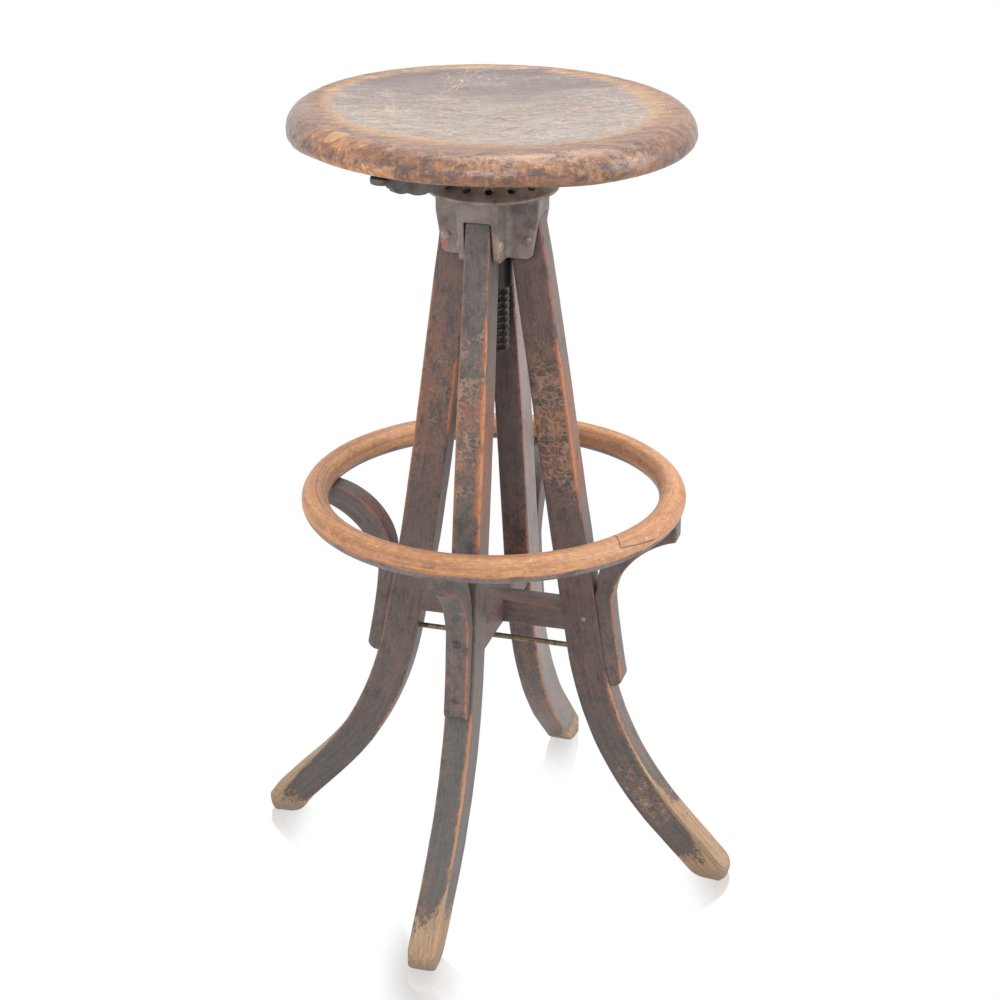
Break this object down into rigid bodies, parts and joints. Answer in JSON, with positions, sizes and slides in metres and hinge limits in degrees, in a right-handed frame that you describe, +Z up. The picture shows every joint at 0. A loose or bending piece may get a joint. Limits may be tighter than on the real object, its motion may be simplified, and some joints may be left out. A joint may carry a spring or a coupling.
{
  "type": "adjustable swivel stool",
  "caption": "Tall workshop stool: a round dished seat on a lifting screw with a latched index plate, splayed swept legs and a bracketed foot ring.",
  "frame": {"origin": "on the floor at the centre of the feet, below the axis of the screw", "axes": "+Z up along the screw; the front leg stands on -Y, the right leg on +X"},
  "size_m": [0.463, 0.463, 0.724],
  "materials": {
    "seat_wood": "old dark brown stain worn through to tan around the rim, low gloss",
    "leg_wood": "old dark brown paint, edges and feet worn to bare wood",
    "bracket_wood": "old dark grey-brown paint worn at the edges",
    "ring_wood": "bare bent wood with lengthwise grain, traces of grey paint below",
    "peg_wood": "bare wood",
    "cast_iron": "old bare iron casting, dull warm grey",
    "plate_iron": "old iron casting, dull olive grey with a worn bright edge",
    "spindle_iron": "dull oiled steel screw",
    "rivet_iron": "dull iron with worn bright domes",
    "fastener_steel": "dull steel",
    "rod_steel": "dull steel gone olive brown",
    "fibre": "hard brown fibre"
  },
  "bodies": {
    "base": {"hub_casting": "cast_iron", "leg_rivets": "rivet_iron", "leg_front": "leg_wood", "leg_right": "leg_wood", "leg_back": "leg_wood", "leg_left": "leg_wood", "bracket_front": "bracket_wood", "bracket_right": "bracket_wood", "bracket_back": "bracket_wood", "bracket_left": "bracket_wood", "bracket_screws": "fastener_steel", "foot_ring": "ring_wood", "ring_screws": "fastener_steel", "stretcher_side": "leg_wood", "stretcher_fore": "leg_wood", "tenon_pegs": "peg_wood", "lap_screw": "fastener_steel", "tie_rod": "rod_steel", "rod_nuts": "fastener_steel", "rod_washers": "fastener_steel"},
    "lift": {"stop_washer": "fibre"},
    "screw": {"spindle": "spindle_iron", "index_plate": "plate_iron", "plate_pin": "fastener_steel", "top_washer": "fastener_steel", "top_nut": "fastener_steel"},
    "seat": {"seat_board": "seat_wood", "seat_spider": "cast_iron", "seat_screws": "fastener_steel", "latch_pin": "fastener_steel"},
    "latch": {"latch_lever": "cast_iron"}
  },
  "joints": [
    {"name": "seat_height", "type": "slide", "parent": "base", "child": "lift", "axis": [0, 0, 1], "range_m": [0, 0.108]},
    {"name": "screw_turn", "type": "hinge", "parent": "lift", "child": "screw", "pos_m": [0, 0, 0.6], "axis": [0, 0, 1], "range_deg": [0, 6130]},
    {"name": "seat_swivel", "type": "hinge", "parent": "screw", "child": "seat", "pos_m": [0, 0, 0.685], "axis": [0, 0, 1], "continuous": true},
    {"name": "latch_lift", "type": "hinge", "parent": "seat", "child": "latch", "pos_m": [-0.01634, -0.02635, 0.681], "axis": [-0.8499, 0.527, 0], "range_deg": [-6, 7]}
  ],
  "couplings": [
    {"joint": "screw_turn", "follows": "seat_height", "rad_per_m": 989.48}
  ]
}
